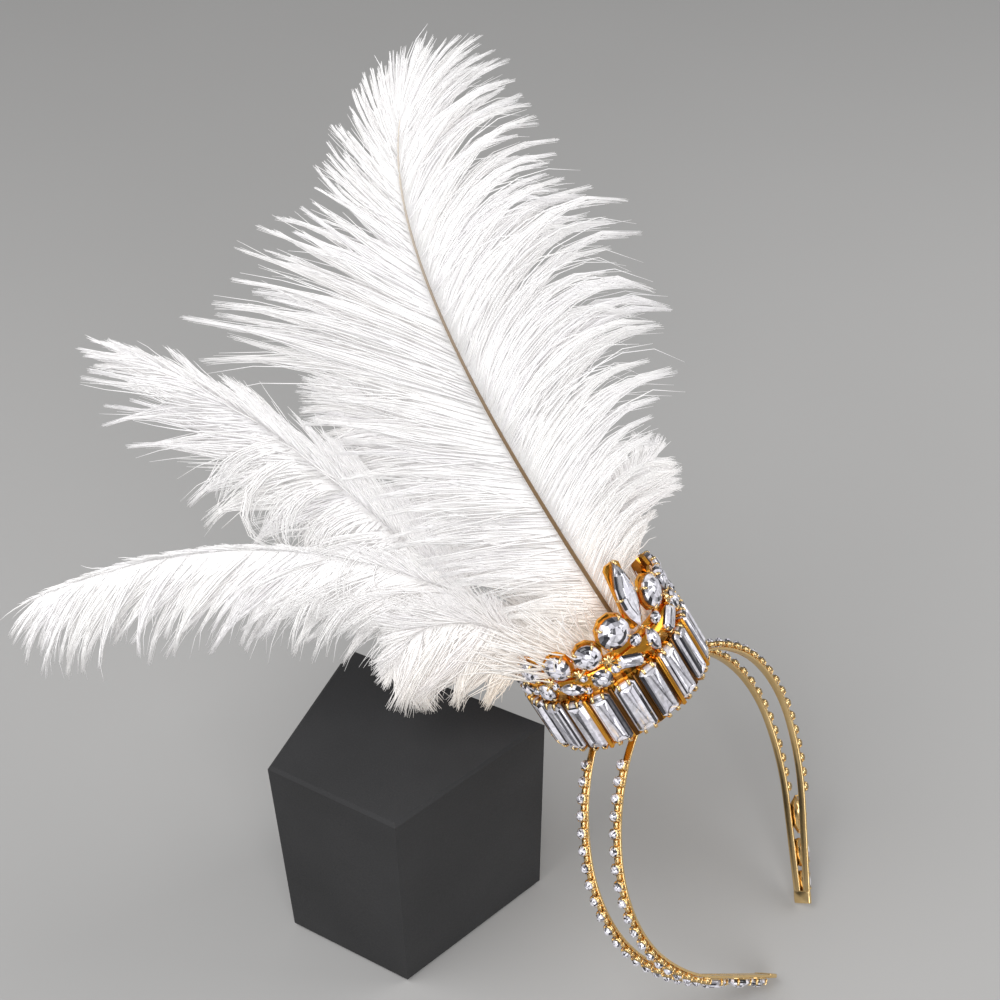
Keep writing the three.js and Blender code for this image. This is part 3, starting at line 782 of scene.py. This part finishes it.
def cut_stone(kind, length, width, depth_scale=1.0):
    """A stone from its foot by the girdle to the table. Round and pointed tables show a star of facets."""
    inset = STONE["foot_inset"] * depth_scale
    shape = flat_shape(OUTLINES[kind](length - 2 * inset, width - 2 * inset))
    extrude((0, 0, STONE["girdle"] * depth_scale))
    grow((width / (width - 2 * inset), length / (length - 2 * inset), 1))
    for share, rise, twist in CUTS[kind]:
        bpy.ops.mesh.inset(thickness=share * min(length, width))
        move((0, 0, rise * depth_scale))
        if twist:
            half_facet = math.pi / STONE["oval_sides"]
            bpy.ops.transform.rotate(value=half_facet, orient_axis="Z", center_override=(0, 0, 0))
    if kind != "baguette":
        bpy.ops.mesh.poke()
    return take_up(shape)


def setting_plate(kind, length, width, thickness):
    """The gold plate under a stone, a little wider than the stone."""
    shape = flat_shape(OUTLINES[kind](length, width))
    extrude((0, 0, thickness))
    return take_up(shape)


# Width, depth and height of a claw's stem, then its bends: how far each reaches, and how much it narrows
CLAW_STEM = (0.95, 0.6, 1.6)
CLAW_BENDS = (((0, 0.3, 0.5), 0.92), ((0, 0.7, 0.28), 0.72))
CUP = {"sides": 10, "radius": 1.5, "height": 2, "flare": 1.22, "wall": 0.25, "hollow": 0.6}
# A flower's petals grow from the faces whose normal has little Z, and enough of both X and Y
FLOWER = {"radius": 1.1, "height": 0.9, "petal": 1.3, "most_z": 0.4, "least_xy": 0.3}
# How far a bar's edges are eased, as a share of its smaller size
BAR_EASING = 0.3


def claw_shape():
    """A claw that stands outside a stone's edge at the origin and bends over it, towards +Y."""
    width, depth, height = CLAW_STEM
    claw = add_shape(bpy.ops.mesh.primitive_cube_add, size=1, location=(0, -depth / 2, height / 2),
                     scale=(width, depth, height))
    for offset, narrowing in CLAW_BENDS:
        pick_faces(claw, faces_up)
        extrude(offset)
        grow((narrowing, 1, 1))
    return take_up(claw)


def cup_shape():
    """An open gold cup, a little wider at its mouth."""
    cup = add_shape(bpy.ops.mesh.primitive_cylinder_add, vertices=CUP["sides"], radius=CUP["radius"],
                    depth=CUP["height"], location=(0, 0, CUP["height"] / 2))
    pick_faces(cup, faces_up)
    grow((CUP["flare"], CUP["flare"], 1))
    bpy.ops.mesh.inset(thickness=CUP["wall"])
    move((0, 0, -CUP["hollow"]))
    return take_up(cup)


def bar_shape(width, length, thickness, rounds=2):
    """A flat bar with eased edges that lies along Y on the ground."""
    bar = add_shape(bpy.ops.mesh.primitive_cube_add, size=1, location=(0, 0, thickness / 2),
                    scale=(width, length, thickness))
    apply_modifier(bar, "BEVEL", width=BAR_EASING * min(width, thickness), segments=rounds)
    return take_up(bar)


def bears_petal(normal):
    return abs(normal.z) < FLOWER["most_z"] and min(abs(normal.x), abs(normal.y)) > FLOWER["least_xy"]


def flower_shape():
    """Gold petals drawn out of a bead."""
    bead = add_shape(bpy.ops.mesh.primitive_uv_sphere_add, segments=8, ring_count=5,
                     radius=FLOWER["radius"], location=(0, 0, FLOWER["height"]))
    pick_faces(bead, bears_petal)
    bpy.ops.mesh.extrude_faces_move(TRANSFORM_OT_shrink_fatten={"value": FLOWER["petal"]})
    return take_up(bead)


CLAW = claw_shape()
# Claws of each cut: place across and along as shares of the half sizes, and the way that the claw bends
CLAWS = {
    "oval": tuple((math.cos(a), math.sin(a), math.degrees(a) + 90) for a in np.radians((45, 135, 225, 315))),
    "navette": ((0, -1, 0), (0, 1, 180), (1, 0, 90), (-1, 0, 270)),
    "baguette": ((-0.5, -1, 0), (0.5, -1, 0), (-0.5, 1, 180), (0.5, 1, 180)),
}


def matrix(columns, origin):
    made = np.eye(4)
    made[:3, :3] = np.stack(columns, -1)
    made[:3, 3] = origin
    return made


def turned(degrees, x=0.0, y=0.0):
    """A turn about local Z, at a place."""
    a = math.radians(degrees)
    return matrix([(math.cos(a), math.sin(a), 0), (-math.sin(a), math.cos(a), 0), (0, 0, 1)], (x, y, 0))


def add_claws(cluster, kind, length, width, place, scale=1.0):
    for across, along, bend in CLAWS[kind]:
        claw_place = turned(bend, across * width / 2, along * length / 2)
        claw_place[:3, :3] *= scale
        cluster.add(CLAW, place @ claw_place)


def stone_piece(node, shape, place, random):
    """One cut stone in the place of its plain solid."""
    stone = Cluster()
    stone.add(shape, place, random)
    stone.piece(node + "_cut", CRYSTAL, "crystal", [node])


# Crown

SEAT_GAP = 0.3
WALL_RADIUS = 29.2
PANELS = 20
PANEL_DEG = 360 / PANELS
BAGUETTE = {"width": 7.8, "length": 20.4, "height": 14.4, "claw_scale": 1.3}
# The rows above the baguettes count from one tall navette, and are mirrored to both sides of it
CROWN_TURN = -12
# name, angle, height, shape, length, width, roll
TOP_STONES = (
    ("tall_navette", 0, 49.6, "navette", 25, 8, -9),
    ("round_a", 21, 42.2, "oval", 11.6, 11.6, 0),
    ("round_b", 43, 39.4, "oval", 9.6, 9.6, 0),
    ("round_c", 65, 39.4, "oval", 9.6, 9.6, 0),
    ("round_d", 89, 39, "oval", 9, 9, 0),
    ("round_e", 115, 39, "oval", 9, 9, 0),
    ("round_f", 141, 39, "oval", 9, 9, 0),
    ("round_g", 167, 39, "oval", 9, 9, 0),
)
# angle, height, shape, length, width, roll
MID_STONES = (
    (0, 30.2, "navette", 10, 5.4, 0),
    (21, 30, "baguette", 9.4, 4.8, 62),
    (42, 29.9, "oval", 7.4, 7, 90),
    (63, 29.9, "navette", 10, 5, 70),
    (84, 29.9, "oval", 7.4, 7, 90),
    (105, 29.9, "navette", 10, 5, 90),
    (126, 29.9, "oval", 7.4, 7, 90),
    (148, 29.9, "navette", 10, 5, 90),
    (169, 29.9, "oval", 7.4, 7, 90),
)
# Depth of these stones and size of their claws, against the top row
MID_SCALE = 0.9
MID_STRIP = {"bottom": 26.2, "top": 33.4, "thickness": 0.7}
# Small round stones that fill the gaps round the middle row: angle, height, size
CHIPS = (
    (11, 34.8, 4.6), (31.5, 30.6, 3.6), (52.5, 32.6, 2.8), (54, 27.6, 2.8), (73.5, 32.4, 2.8),
    (94.5, 30, 3), (115.5, 30, 3), (137, 30, 3), (158.5, 30, 3),
)
# Depth of these stones, against the top row
CHIP_SCALE = 0.7
# angle and height of the gold flowers between the two rows
FLOWERS = ((33, 34.4), (54, 34.2), (77, 34), (102, 34), (128, 34), (154, 34))
# Bars in the gaps between baguettes: width, length, thickness. Every third one stands proud.
PROUD_BAR = (1.6, 21.4, 3.0)
FLUSH_BAR = (1.7, 21, 1.3)
PROUD_EVERY = 3


def on_crown(angle, height, radius):
    """Local Z outwards and Y up, at an angle round the crown from the hoop's front."""
    a = math.radians(angle)
    outward = np.array([math.sin(a), -math.cos(a), 0])
    across = np.array([math.cos(a), math.sin(a), 0])
    return matrix([across, (0, 0, 1), outward], outward * radius + (0, 0, height))


def row_places(angle, height, roll=0):
    """Where a row's stone stands on both sides of the crown's middle. The middle stone stands alone."""
    for suffix, side in (("_left", -1), ("_right", 1)) if angle else (("", -1),):
        place = on_crown(CROWN_TURN + side * angle, height, WALL_RADIUS + 2 * SEAT_GAP)
        yield suffix, place @ turned(-side * roll)


def baguette_row(claws, random):
    length, width = BAGUETTE["length"], BAGUETTE["width"]
    shape = cut_stone("baguette", length, width)
    for i in range(PANELS):
        place = on_crown((i + 0.5) * PANEL_DEG, BAGUETTE["height"], WALL_RADIUS + SEAT_GAP)
        stone_piece(f"baguette_{i + 1:02d}", shape, place, random)
        add_claws(claws, "baguette", length, width, place, BAGUETTE["claw_scale"])


def top_row(claws, random):
    for name, angle, height, kind, length, width, roll in TOP_STONES:
        shape = cut_stone(kind, length, width)
        for suffix, place in row_places(angle, height, roll):
            stone_piece(name + suffix, shape, place, random)
            add_claws(claws, kind, length, width, place)


def middle_row(claws, random):
    stones = Cluster()
    for angle, height, kind, length, width, roll in MID_STONES:
        shape = cut_stone(kind, length, width, MID_SCALE)
        for _, place in row_places(angle, height, roll):
            stones.add(shape, place, random)
            add_claws(claws, kind, length, width, place, MID_SCALE)
    for angle, height, size in CHIPS:
        shape = cut_stone("oval", size, size, CHIP_SCALE)
        for _, place in row_places(angle, height):
            stones.add(shape, place, random)
    stones.piece("mid_stones", CRYSTAL, "crystal", ["mid_row"])
    flower = flower_shape()
    for angle, height in FLOWERS:
        for _, place in row_places(angle, height):
            claws.add(flower, place)


def middle_strip():
    """The thin gold strip behind the middle row, with as many panels as the crown."""
    corner = 1 / math.cos(math.radians(PANEL_DEG / 2))
    height = MID_STRIP["top"] - MID_STRIP["bottom"]
    radius = (WALL_RADIUS + SEAT_GAP + MID_STRIP["thickness"]) * corner
    band = add_shape(bpy.ops.mesh.primitive_cylinder_add, vertices=PANELS, radius=radius, depth=height,
                     end_fill_type="NOTHING", location=(0, 0, MID_STRIP["bottom"] + height / 2))
    apply_modifier(band, "SOLIDIFY", thickness=MID_STRIP["thickness"], offset=-1)
    strip = Cluster()
    strip.add(take_up(band), np.eye(4))
    strip.piece("mid_strip", AMBER_GOLD, "gold", ["mid_row"])


def gap_bars():
    proud, flush = Cluster(), Cluster()
    proud_bar = bar_shape(*PROUD_BAR)
    flush_bar = bar_shape(*FLUSH_BAR)
    for i in range(PANELS):
        place = on_crown(i * PANEL_DEG, BAGUETTE["height"], WALL_RADIUS + SEAT_GAP)
        if i % PROUD_EVERY == 1:
            proud.add(proud_bar, place)
        else:
            flush.add(flush_bar, place)
    proud.piece("crown_bars", AMBER_GOLD, "gold")
    flush.piece("crown_gaps", SHADED_GOLD, "gold")


def crown_pieces(random):
    claws = Cluster()
    baguette_row(claws, random)
    top_row(claws, random)
    middle_row(claws, random)
    claws.piece("crown_claws", GOLD, "gold")
    middle_strip()
    gap_bars()


# Hoop, cup chains and end stones

# Length and radius of the hoop's stretches from its top to one tip, the last one straight
HOOP_ARCS = ((62, 66), (44, 47), (34, 85), (40, None))
ARM_LENGTH = sum(length for length, _ in HOOP_ARCS)
# How far each strand stands from the middle line, at the hoop's top and at its tips
STRAND_SPREAD = (9.5, 2.0)
HOOP_STATIONS = 150
STRIP = {"width": 3.0, "thickness": 1.0, "easing": 0.28}
TIP_CAP = {"length": 5.0, "width": 7.4, "thickness": 1.6}
CHAIN = {"start": 30.2, "pitch": 5.77, "cups": 19, "cup_span": 3.4}
CHAIN_STONE = {"size": 3.5, "foot": 0.9, "depth_scale": 0.75, "claw_scale": 0.8}
# Width, length and thickness of the link between two cups
CHAIN_LINK = (1.8, CHAIN["pitch"] - CHAIN["cup_span"], 0.9)
# name, shape, place along the arm, length, width
END_STONES = (
    ("end_navette", "navette", 145, 14, 6),
    ("end_oval", "oval", 160, 10.5, 7),
    ("end_drop", "oval", 171.5, 8, 6),
)
END_PLATE = {"overhang": 0.4, "thickness": 0.6}


def along_arm(distance):
    """Place and heading of the hoop's middle line at a distance from its top."""
    x, z, angle = 0.0, 0.0, 0.0
    for length, radius in HOOP_ARCS:
        step = min(distance, length)
        distance -= step
        if radius:
            after = angle + step / radius
            x += radius * (math.sin(after) - math.sin(angle))
            z += radius * (math.cos(after) - math.cos(angle))
            angle = after
        else:
            x += step * math.cos(angle)
            z -= step * math.sin(angle)
    return x, z, angle


def on_arm(distance, face, lift=0.0):
    """Local Z off the hoop and Y along it. The distance's sign picks the arm, and face the strand."""
    side = -1 if distance < 0 else 1
    x, z, angle = along_arm(abs(distance))
    spread = face * blend(STRAND_SPREAD, abs(distance) / ARM_LENGTH)
    normal = np.array([side * math.sin(angle), 0, math.cos(angle)])
    tangent = np.array([math.cos(angle), 0, -side * math.sin(angle)])
    point = np.array([side * x, spread, z])
    return matrix([np.cross(tangent, normal), tangent, normal], point + lift * normal)


def strand_shape(face):
    """One strand: a long flat strip with eased edges, laid straight and then bent round the hoop."""
    strip = add_shape(bpy.ops.mesh.primitive_grid_add, x_subdivisions=1, y_subdivisions=HOOP_STATIONS,
                      size=1)
    pick_faces(strip, lambda normal: True)
    grow((STRIP["width"], 2 * ARM_LENGTH, 1))
    bpy.ops.object.mode_set(mode="OBJECT")
    apply_modifier(strip, "SOLIDIFY", thickness=STRIP["thickness"], offset=0)
    apply_modifier(strip, "BEVEL", width=STRIP["easing"], segments=2, limit_method="ANGLE")
    shape = take_up(strip)
    across, along, rise = shape["points"].T
    frames = np.array([on_arm(place, face) for place in along])
    shape["points"] = frames[:, :3, 3] + across[:, None] * (0, 1, 0) + rise[:, None] * frames[:, :3, 2]
    return shape


def gold_hoop():
    hoop = Cluster()
    for face in (-1, 1):
        hoop.add(strand_shape(face), np.eye(4))
    cap = bar_shape(TIP_CAP["width"], TIP_CAP["length"], TIP_CAP["thickness"])
    for side in (-1, 1):
        hoop.add(cap, on_arm(side * (ARM_LENGTH - TIP_CAP["length"] / 2), 0, -TIP_CAP["thickness"] / 2))
    hoop.piece("gold_hoop", GOLD, "gold", ["hoop"])


def end_stones(random):
    settings = Cluster()
    wider = 2 * END_PLATE["overhang"]
    for name, kind, along, length, width in END_STONES:
        shape = cut_stone(kind, length, width)
        plate = setting_plate(kind, length + wider, width + wider, END_PLATE["thickness"])
        for hand, side in (("left", -1), ("right", 1)):
            place = on_arm(side * along, 0, TIP_CAP["thickness"] / 2 + SEAT_GAP)
            stone_piece(f"{name}_{hand}", shape, place, random)
            settings.add(plate, on_arm(side * along, 0, STRIP["thickness"] / 2))
            add_claws(settings, kind, length, width, place)
    settings.piece("end_settings", GOLD, "gold")


def cup_chains(random):
    size = CHAIN_STONE["size"]
    cup = cup_shape()
    link = bar_shape(*CHAIN_LINK, rounds=1)
    stone = cut_stone("oval", size, size, CHAIN_STONE["depth_scale"])
    foot = STRIP["thickness"] / 2 + SEAT_GAP
    for row, face in (("front", -1), ("back", 1)):
        for hand, side in (("left", -1), ("right", 1)):
            cups, stones = Cluster(), Cluster()
            for i in range(CHAIN["cups"]):
                along = side * (CHAIN["start"] + i * CHAIN["pitch"])
                seat = on_arm(along, face, foot)
                cups.add(cup, seat)
                add_claws(cups, "oval", size, size, seat, CHAIN_STONE["claw_scale"])
                stones.add(stone, on_arm(along, face, foot + CHAIN_STONE["foot"]), random)
                if i:
                    cups.add(link, on_arm(along - side * CHAIN["pitch"] / 2, face, foot))
            node = f"{row}_chain_{hand}"
            stones.piece(node + "_stones", CRYSTAL, "crystal", [node])
            cups.piece(node + "_cups", GOLD, "gold", [node])


crown_pieces(draws("crown"))
gold_hoop()
end_stones(draws("ends"))
cup_chains(draws("chains"))

# Carried-over pieces

for node, finish in (("crown_frame", AMBER_GOLD), ("display_block", block_finish())):
    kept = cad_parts[node].data.materials
    kept.clear()
    kept.append(finish)

# Floor, light and camera, in metres

FLOOR = {"size": 6, "drop": 0.0003}
AIM = Vector((0.03, -0.02, 0.13))
# name, place, size, power in watts
LIGHTS = (
    ("key_light", (-0.55, 0.5, 1.35), 1.1, 14.0),
    ("fill_light", (0.75, -0.85, 0.7), 0.8, 6.0),
    ("front_light", (-0.9, -0.7, 0.75), 0.9, 8.0),
)
SURROUNDINGS = 0.3
# The camera as fitted to the photo: place, heading, and the sensor's width and the lens in millimetres
EYE = Vector((-0.2685, -0.1959, 0.53805))
LOOK = Vector((0.630, 0.353, -0.692))
SENSOR_WIDTH = 36.0
LENS = 54.53


def set_up(name, data, place, heading):
    """Stands a lamp or a camera in the scene, turned to its heading."""
    stand = bpy.data.objects.new(name, data)
    stand.location = place
    stand.rotation_euler = heading.to_track_quat("-Z", "Y").to_euler()
    bpy.context.scene.collection.objects.link(stand)
    return stand


select_none()
bpy.ops.mesh.primitive_plane_add(size=FLOOR["size"], location=(0, 0, -FLOOR["drop"]))
floor = bpy.context.object
floor.name = "floor"
floor.data.materials.append(floor_finish())
floor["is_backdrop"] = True

for name, place, size, power in LIGHTS:
    lamp = bpy.data.lights.new(name, "AREA")
    lamp.size = size
    lamp.energy = power
    set_up(name, lamp, place, AIM - Vector(place))

world = bpy.data.worlds.new("studio")
world.use_nodes = True
world.node_tree.nodes["Background"].inputs["Color"].default_value = grey(SURROUNDINGS)
bpy.context.scene.world = world
bpy.context.scene.view_settings.view_transform = "Standard"

lens = bpy.data.cameras.new("camera")
lens.sensor_width = SENSOR_WIDTH
lens.lens = LENS
bpy.context.scene.camera = set_up("camera", lens, EYE, LOOK)

boxes = {"cad": cad_box, "visual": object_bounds()}
{name: [list(corner) for corner in box] for name, box in boxes.items()}
